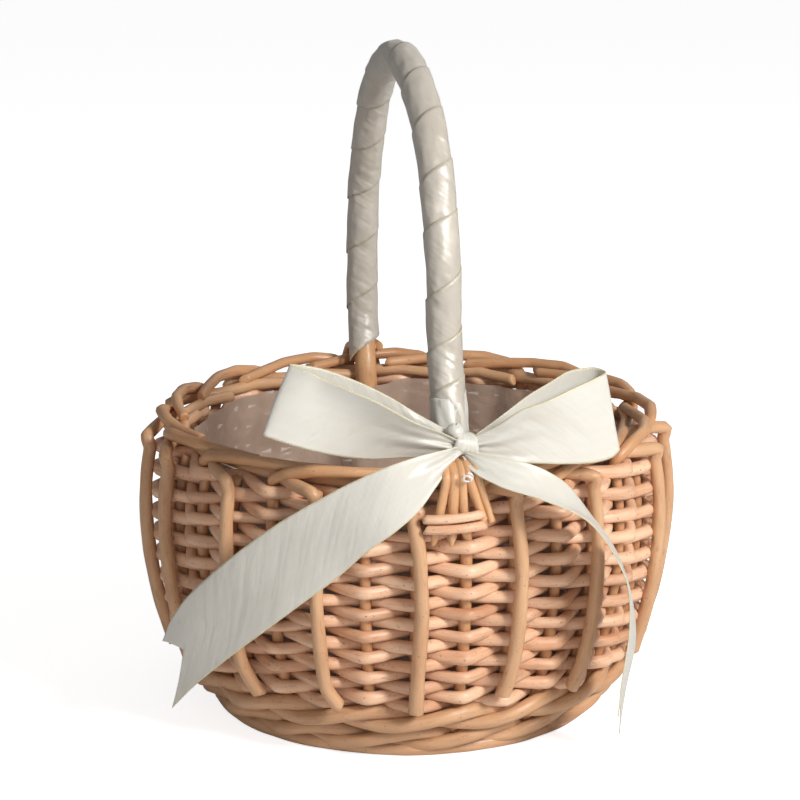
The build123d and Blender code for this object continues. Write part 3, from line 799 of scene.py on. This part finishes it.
# ---- film liner
def film_liner():
    """Clear film pressed into the bowl: floor, corner and wall as one profile turned round, crumpled inwards."""
    low, high = box_mm("film_liner")
    top = high[2] + FILM_RISE
    profile = np.array([
        (0.3, low[2] + 0.4), (40, low[2] + 0.4), (62.5, low[2] + 0.5), (69, 21.2), (73, 27.5), (77, 40),
        (80.2, 60), (82.0, 78), (80.4, 92), (80.2, top),
    ])
    s = np.concatenate([[0], np.cumsum(np.linalg.norm(np.diff(profile, axis=0), axis=1))])
    t = np.linspace(0, s[-1], 110)
    r, z = np.interp(t, s, profile[:, 0]), np.interp(t, s, profile[:, 1])
    for _ in range(2):
        r[1:-1] = (r[:-2] + 2 * r[1:-1] + r[2:]) / 4
        z[1:-1] = (z[:-2] + 2 * z[1:-1] + z[2:]) / 4
    a = np.linspace(0, 2 * np.pi, 240, endpoint=False)[:, None]
    pleat = 0.45 * np.sin(a * 23 + 1.3 * np.sin(a * 3)) + 0.3 * np.sin(a * 41 + t[None] * 0.09)
    pleat = pleat + 0.3 * np.sin(a * 9 + t[None] * 0.15)
    dent = np.clip(pleat, -1, 1) * np.clip(t[None] / 60, 0, 1) - 0.9 * np.clip(t[None] / 60, 0, 1)
    radius = r[None] + dent
    beside = np.minimum(np.abs(a), 2 * np.pi - np.abs(a)), np.abs(a - np.pi)
    legs = sum(np.exp(-((np.degrees(k) / 8.5) ** 4)) for k in beside)
    radius = radius - LEG_DENT * legs * np.clip((z[None] - 40) / 14, 0, 1)
    height = z[None] + 0.35 * np.clip(pleat, 0, 1) + np.where(t[None] > s[-1] - 3, 0.8 * np.sin(a * 7), 0)
    pts = np.stack([radius * np.sin(a), -radius * np.cos(a), height], axis=-1)
    n, m = pts.shape[:2]
    i, j = np.meshgrid(np.arange(n), np.arange(m - 1), indexing="ij")
    i, j = i.ravel(), j.ravel()
    k = (i + 1) % n
    quads = np.stack([i * m + j, k * m + j, k * m + j + 1, i * m + j + 1], axis=1)
    u0, u1, v0, v1 = i / n, (i + 1) / n, j / m, (j + 1) / m
    uv = np.stack([u0, v0, u1, v0, u1, v1, u0, v1], axis=1).reshape(-1, 2)
    return mesh_object("film-liner", pts.reshape(-1, 3), [quads], uv)


settle(film_liner(), clear_film, "clear_film", "film_liner")

# ---- bow
# Edge lines of the ribbon, from the knot outwards in front and from the fold inwards behind.
LEFT_FRONT_LOW = (
    (-0.6, -88, 115.4), (-7.8, -90, 115.6), (-19.2, -93, 116.8), (-33.6, -96, 117.7), (-49.1, -98.5, 121.1),
    (-63.6, -99, 126.0), (-70.3, -96.5, 128.3),
)
LEFT_FRONT_HIGH = (
    (-1.4, -88, 120.7), (-7.6, -89, 124.2), (-14.7, -90, 127.3), (-30.9, -93, 137.3), (-48.3, -95.5, 146.2),
    (-56.7, -95.5, 150.6), (-60.1, -93.5, 151.6),
)
LEFT_BACK_HIGH = (
    (-55.7, -89.5, 150.3), (-49.3, -87.5, 148.5), (-39.0, -86, 144.3), (-24.0, -84.5, 136.2), (-13.5, -84.5, 129.0),
    (-0.9, -86, 121.4),
)
LEFT_BACK_LOW = (
    (-65.7, -91, 126.6), (-57.3, -87.5, 123.8), (-44.9, -85, 120.0), (-27.3, -83.5, 117.4), (-13.4, -84, 117.1),
    (-0.5, -86, 116.9),
)
RIGHT_FRONT_LOW = (
    (4.6, -88, 115.1), (14.0, -92, 113.1), (23.9, -94, 112.6), (36.0, -92.5, 111.1), (50.0, -88, 110.3),
    (54.9, -85, 110.8), (57.9, -82, 112.5),
)
RIGHT_FRONT_HIGH = (
    (4.6, -88, 121.4), (13.1, -90.5, 126.2), (19.1, -91.5, 130.4), (28.3, -91, 133.2), (40.3, -88, 137.2),
    (48.0, -85, 139.2), (52.6, -82, 140.4),
)
RIGHT_BACK_HIGH = (
    (50.0, -78, 141.2), (46.7, -77, 141.0), (41.3, -77, 140.3), (33.1, -78.5, 136.5), (26.1, -80, 133.3),
    (16.2, -83, 128.0), (5.1, -86, 122.0),
)
RIGHT_BACK_LOW = (
    (56.7, -78, 112.2), (53.4, -77, 111.8), (47.0, -77.5, 111.9), (37.6, -79, 112.5), (28.2, -80.5, 113.5),
    (16.8, -83, 115.1), (5.4, -86, 117.0),
)
LEFT_TAIL_HIGH = (
    (-1.7, -91, 119.4), (-8.8, -94.5, 119.0), (-16.5, -98, 118.7), (-27.2, -99.3, 116.2), (-41.1, -95.5, 109.4),
    (-50.8, -91.3, 103.1), (-61.6, -85.1, 95.0), (-71.1, -77.9, 85.9), (-79.1, -70.5, 77.0), (-85.2, -63.9, 69.1),
    (-92.0, -55.7, 58.9), (-96.1, -50.4, 50.2), (-98.8, -47.1, 41.5),
)
LEFT_TAIL_LOW = (
    (-1.0, -91, 115.9), (-5.9, -95.5, 112.4), (-11.0, -99.5, 107.9), (-17.1, -101.1, 100.8), (-24.3, -100.6, 94.3),
    (-34.4, -98.2, 86.4), (-44.8, -94.4, 76.0), (-55.2, -88.7, 66.3), (-65.4, -82.2, 56.2), (-75.6, -73.6, 45.3),
    (-82.4, -66.7, 37.1), (-89.1, -59.2, 28.4), (-96.3, -49.9, 17.0),
)
RIGHT_TAIL_HIGH = (
    (1.8, -91, 117.1), (11.8, -96, 116.1), (22.6, -99, 113.5), (32.7, -98.2, 107.5), (44.9, -94.9, 92.8),
    (51.1, -91.7, 84.6), (57.2, -87.4, 74.5), (61.9, -83.6, 64.1), (64.5, -81.6, 55.0), (66.0, -80.4, 46.7),
    (66.0, -80.4, 39.2), (64.6, -81.5, 33.2), (62.9, -82.8, 27.8), (60.7, -84.5, 18.0), (59.2, -85.5, 7.9),
)
RIGHT_TAIL_LOW = (
    (0.0, -91, 115.4), (1.2, -96.5, 112.3), (8.9, -102.1, 108.1), (25.0, -100.4, 101.7), (42.5, -96.0, 91.5),
    (49.2, -94.5, 83.3), (54.0, -93.5, 75.1), (57.1, -93.5, 67.2), (58.1, -94.0, 59.6), (57.9, -95.3, 52.3),
    (57.0, -96.4, 45.4), (55.8, -97.1, 39.1), (54.6, -97.8, 33.1), (53.6, -98.3, 21.5),
)


def bow_loop(node, front_low, front_high, back_low, back_high, hollow, lean, set_back, seed):
    """A ribbon loop between two edge lines that run out along the front, round the fold and back.

    Near the knot the ribbon is gathered: pleats across the width, deep at the knot and gone by mid loop.
    The middle of the front face is hollowed and its upper edge leans forward, both fading out at the ends,
    and the fold stands back from the knot.
    """
    rows = between(front_low + back_low, front_high + back_high, 150, 33)
    n, m = rows.shape[:2]
    t = np.linspace(0, 1, n)[:, None]
    v = np.linspace(0, 1, m)[None]
    out = facing(rows)
    knot = np.clip(1 - np.minimum(t, 1 - t) / 0.30, 0, 1) ** 1.5
    pleats = knot * (1.15 * np.sin(2 * np.pi * (1.6 * v + 0.15 * seed)) + 0.5 * np.sin(2 * np.pi * (3.3 * v + 0.3)))
    front = np.sin(np.pi * np.clip(t * 2, 0, 1)) ** 1.5
    belly = -hollow * np.sin(np.pi * v) * front
    soft = 0.5 * np.sin(6.0 * t + 3.1 * v + seed) * np.sin(np.pi * v) + 0.22 * np.sin(17 * t - 5 * v)
    rows = rows + out * (pleats + soft)[..., None] + TO_THE_FRONT * belly[..., None]
    rows = rows + TO_THE_FRONT * (lean * (v - 0.4) * front - set_back * np.sin(np.pi * t) ** 1.2)[..., None]
    length = np.linalg.norm(np.diff(rows[:, m // 2], axis=0), axis=1).sum()
    obj = strip(node.replace("_", "-"), rows, RIBBON_WIDE, length * MM)
    settle(obj, satin_bow, "satin_bow", node)


bow_loop("bow_loop_left", LEFT_FRONT_LOW, LEFT_FRONT_HIGH, LEFT_BACK_LOW, LEFT_BACK_HIGH, 2.2, 15.0, 12.0, 1)
bow_loop("bow_loop_right", RIGHT_FRONT_LOW, RIGHT_FRONT_HIGH, RIGHT_BACK_LOW, RIGHT_BACK_HIGH, 2.0, 9.0, -2.0, 2)


def bow_tail(node, low_line, high_line, notch, seed):
    """A ribbon tail between two edge lines, gathered at the knot, with a swallowtail cut into its end.

    Where the edge lines lie closer than the ribbon is wide, the tail hangs nearly edge-on, so its lower edge
    stands forward of its upper one by the missing width. The cut pulls each row back towards the knot by an
    amount that grows to `notch` in the middle of the end.
    """
    n, m = 170, 33
    a, b = through(low_line, n), through(high_line, n)
    narrow = np.linalg.norm(b - a, axis=1)
    ahead = np.sqrt(np.maximum(24.5**2 - narrow**2, 0)) * np.clip((np.linspace(0, 1, n) - 0.12) / 0.3, 0, 1)
    ahead = np.convolve(np.pad(ahead, 20, mode="edge"), np.hanning(41) / np.hanning(41).sum(), mode="valid")
    a = a + ahead[:, None] * TO_THE_FRONT
    t = np.linspace(0, 1, m)[None, :, None]
    rows = a[:, None] * (1 - t) + b[:, None] * t
    t = np.linspace(0, 1, n)[:, None]
    v = np.linspace(0, 1, m)[None]
    out = facing(rows)
    knot = np.clip(1 - t / 0.22, 0, 1) ** 1.3
    pleats = knot * (0.9 * np.sin(2 * np.pi * (1.4 * v + 0.2 * seed)) + 0.4 * np.sin(2 * np.pi * 3.1 * v))
    slack = 0.45 * np.sin(9 * t + 2.5 * v + seed) * np.sin(np.pi * v) * (1 - knot)
    slack = slack + 0.25 * np.sin(23 * t - 6 * v) * np.sin(np.pi * v)
    rows = rows + out * (pleats + slack)[..., None]
    cut = 1 - notch * (1 - np.abs(2 * v - 1)) * np.clip((t - 0.7) / 0.3, 0, 1)
    where = np.clip(t * cut, 0, 1) * (n - 1)
    i = np.minimum(where.astype(int), n - 2)
    f = (where - i)[..., None]
    j = np.broadcast_to(np.arange(m)[None], i.shape)
    rows = rows[i, j] * (1 - f) + rows[i + 1, j] * f
    length = np.linalg.norm(np.diff(rows[:, 2], axis=0), axis=1).sum()
    obj = strip(node.replace("_", "-"), rows, RIBBON_WIDE, length * MM)
    settle(obj, satin_bow, "satin_bow", node)


bow_tail("bow_tail_left", LEFT_TAIL_LOW, LEFT_TAIL_HIGH, 0.10, 1)
bow_tail("bow_tail_right", RIGHT_TAIL_LOW, RIGHT_TAIL_HIGH, 0.08, 2)


def bow_knot():
    """The knot: a short upright wrap of ribbon, a little waisted, with soft folds running over it."""
    low, high = box_mm("bow_knot")
    mid = (low + high) / 2
    u = np.linspace(0, 1, 44)[:, None]
    a = np.linspace(0, 2 * np.pi, 60)[None]
    swell = 1 - 0.16 * np.abs(2 * u - 1) ** 2.5
    fold = 1 + 0.035 * np.sin(1.6 * 2 * np.pi * u + 1.2 * np.sin(a)) + 0.012 * np.sin(5 * 2 * np.pi * u + a)
    x = (u - 0.5) * (8.6 - 1.8 * np.cos(a))
    y = 4.6 * swell * fold * np.sin(a)
    z = 4.5 * swell * fold * np.cos(a)
    tilt = math.radians(14)
    rows = np.stack([
        mid[0] + 0.6 + x * math.cos(tilt) + z * math.sin(tilt), mid[1] - 1.6 + y,
        mid[2] - 2.2 + z * math.cos(tilt) - x * math.sin(tilt),
    ], axis=-1)
    return strip("bow-knot", rows, 0.0085, 0.029, 0.4)


def bow_tuck():
    """The little turn of ribbon above the knot: a short rolled fold, rounded at both ends."""
    u = np.linspace(0, 1, 30)[:, None]
    a = np.linspace(0, 2 * np.pi, 40)[None]
    swell = np.sin(np.pi * np.clip(u, 0.03, 0.97)) ** 0.55
    x = -1.6 + 3.0 * swell * np.cos(a) + 0.3 * np.sin(2 * a)
    y = -86.5 + 2.6 * swell * np.sin(a)
    z = 120.6 + 5.4 * u + 0.3 * np.sin(a * 2 + 1)
    return strip("bow-tuck", np.stack([x, y, z], axis=-1), 0.018, 0.007, 0.3)


settle(bow_knot(), satin_bow, "satin_bow", "bow_knot")
tuck = bow_tuck()
tuck.data.materials.append(satin_bow)
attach(tuck, "root")


def bow_band():
    """The ribbon drawn round the handle under the bow: a close ring with soft creases and a free lapped end."""
    u = np.linspace(0, 1, 110)[:, None]
    v = np.linspace(0, 1, 25)[None]
    a = 2 * np.pi * 1.06 * u - 0.3
    z = 114.8 + 17.0 * v + 1.6 * np.sin(a + 0.6) * (v - 0.3) + 0.3 * np.sin(5 * a)
    foot = HANDLE_LINE[:160]
    y0 = np.interp(z, foot[:, 2], foot[:, 1])
    crease = 0.16 * np.sin(2 * np.pi * (1.5 * v + 0.5 * u)) + 0.15 * np.sin(9 * a + 5 * v)
    r = 6.25 + 0.35 * u + crease * np.sin(np.pi * v) ** 0.5
    return strip("bow-band", np.stack([r * np.sin(a), y0 - r * np.cos(a), z], axis=-1), 0.017, 0.042, 0.3)


settle(bow_band(), satin_bow, "satin_bow", "bow_band")

# ---- stage, light and camera
pale = bpy.data.materials.new("Pale table")
pale.use_nodes = True
table_tree = pale.node_tree
table_shader = table_tree.nodes["Principled BSDF"]
table_shader.inputs["Base Color"].default_value = (0.80, 0.80, 0.80, 1)
table_shader.inputs["Roughness"].default_value = 0.7
table_shader.inputs["Specular IOR Level"].default_value = 0.2
table_shader.inputs["Emission Color"].default_value = (1, 1, 1, 1)
seen = add(table_tree, "ShaderNodeLightPath").outputs["Is Camera Ray"]
table_tree.links.new(maths(table_tree, "MULTIPLY", seen, EXTRA_WHEN_SEEN), table_shader.inputs["Emission Strength"])
mesh = bpy.data.meshes.new("table-top")
mesh.from_pydata([(-3, -3, 0), (3, -3, 0), (3, 3, 0), (-3, 3, 0)], [], [(0, 1, 2, 3)])
table_top = bpy.data.objects.new("table-top", mesh)
table_top.data.materials.append(pale)
bpy.context.scene.collection.objects.link(table_top)

world = bpy.data.worlds.new("Pale room")
world.use_nodes = True
room = world.node_tree
seen = add(room, "ShaderNodeLightPath").outputs["Is Camera Ray"]
room.nodes["Background"].inputs[0].default_value = (1.0, 1.0, 1.0, 1)
room.links.new(maths(room, "MULTIPLY_ADD", seen, EXTRA_WHEN_SEEN, LIGHT_OF_ROOM), room.nodes["Background"].inputs[1])
bpy.context.scene.world = world


def window_light(name, place, aim, wide, tall, power, colour):
    """A soft rectangular light at `place`, turned to `aim`."""
    data = bpy.data.lights.new(name, "AREA")
    data.shape, data.size, data.size_y, data.energy, data.color = "RECTANGLE", wide, tall, power, colour
    lamp = bpy.data.objects.new(name, data)
    lamp.location = place
    lamp.rotation_euler = (Vector(aim) - Vector(place)).to_track_quat("-Z", "Y").to_euler()
    bpy.context.scene.collection.objects.link(lamp)


window_light("Key window", (0.50, -0.84, 0.68), (0, 0, 0.10), 0.22, 0.28, 12.0, (1.0, 0.985, 0.96))
window_light("Fill card", (-0.6, -1.1, 0.3), (0, 0, 0.10), 0.9, 0.9, 2.5, (0.99, 0.99, 1.0))
window_light("Back window", (0.6, 0.8, 0.7), (0, 0, 0.12), 0.8, 0.5, 1.0, (1.0, 0.98, 0.95))

camera = bpy.data.cameras.new("Camera")
camera.sensor_width = 36
camera.lens = 36 * 2680 / 800
camera.shift_x, camera.shift_y = -0.0080, 0.0091
eye = bpy.data.objects.new("Camera", camera)
turn, rise, aim = math.radians(-12.2), math.radians(14.45), Vector((0, 0, 0.110))
back = Vector((math.sin(turn) * math.cos(rise), -math.cos(turn) * math.cos(rise), math.sin(rise)))
eye.location = aim + back * 1.0
eye.rotation_euler = back.to_track_quat("Z", "Y").to_euler()
bpy.context.scene.collection.objects.link(eye)
bpy.context.scene.camera = eye
bpy.context.scene.view_settings.view_transform = "Standard"
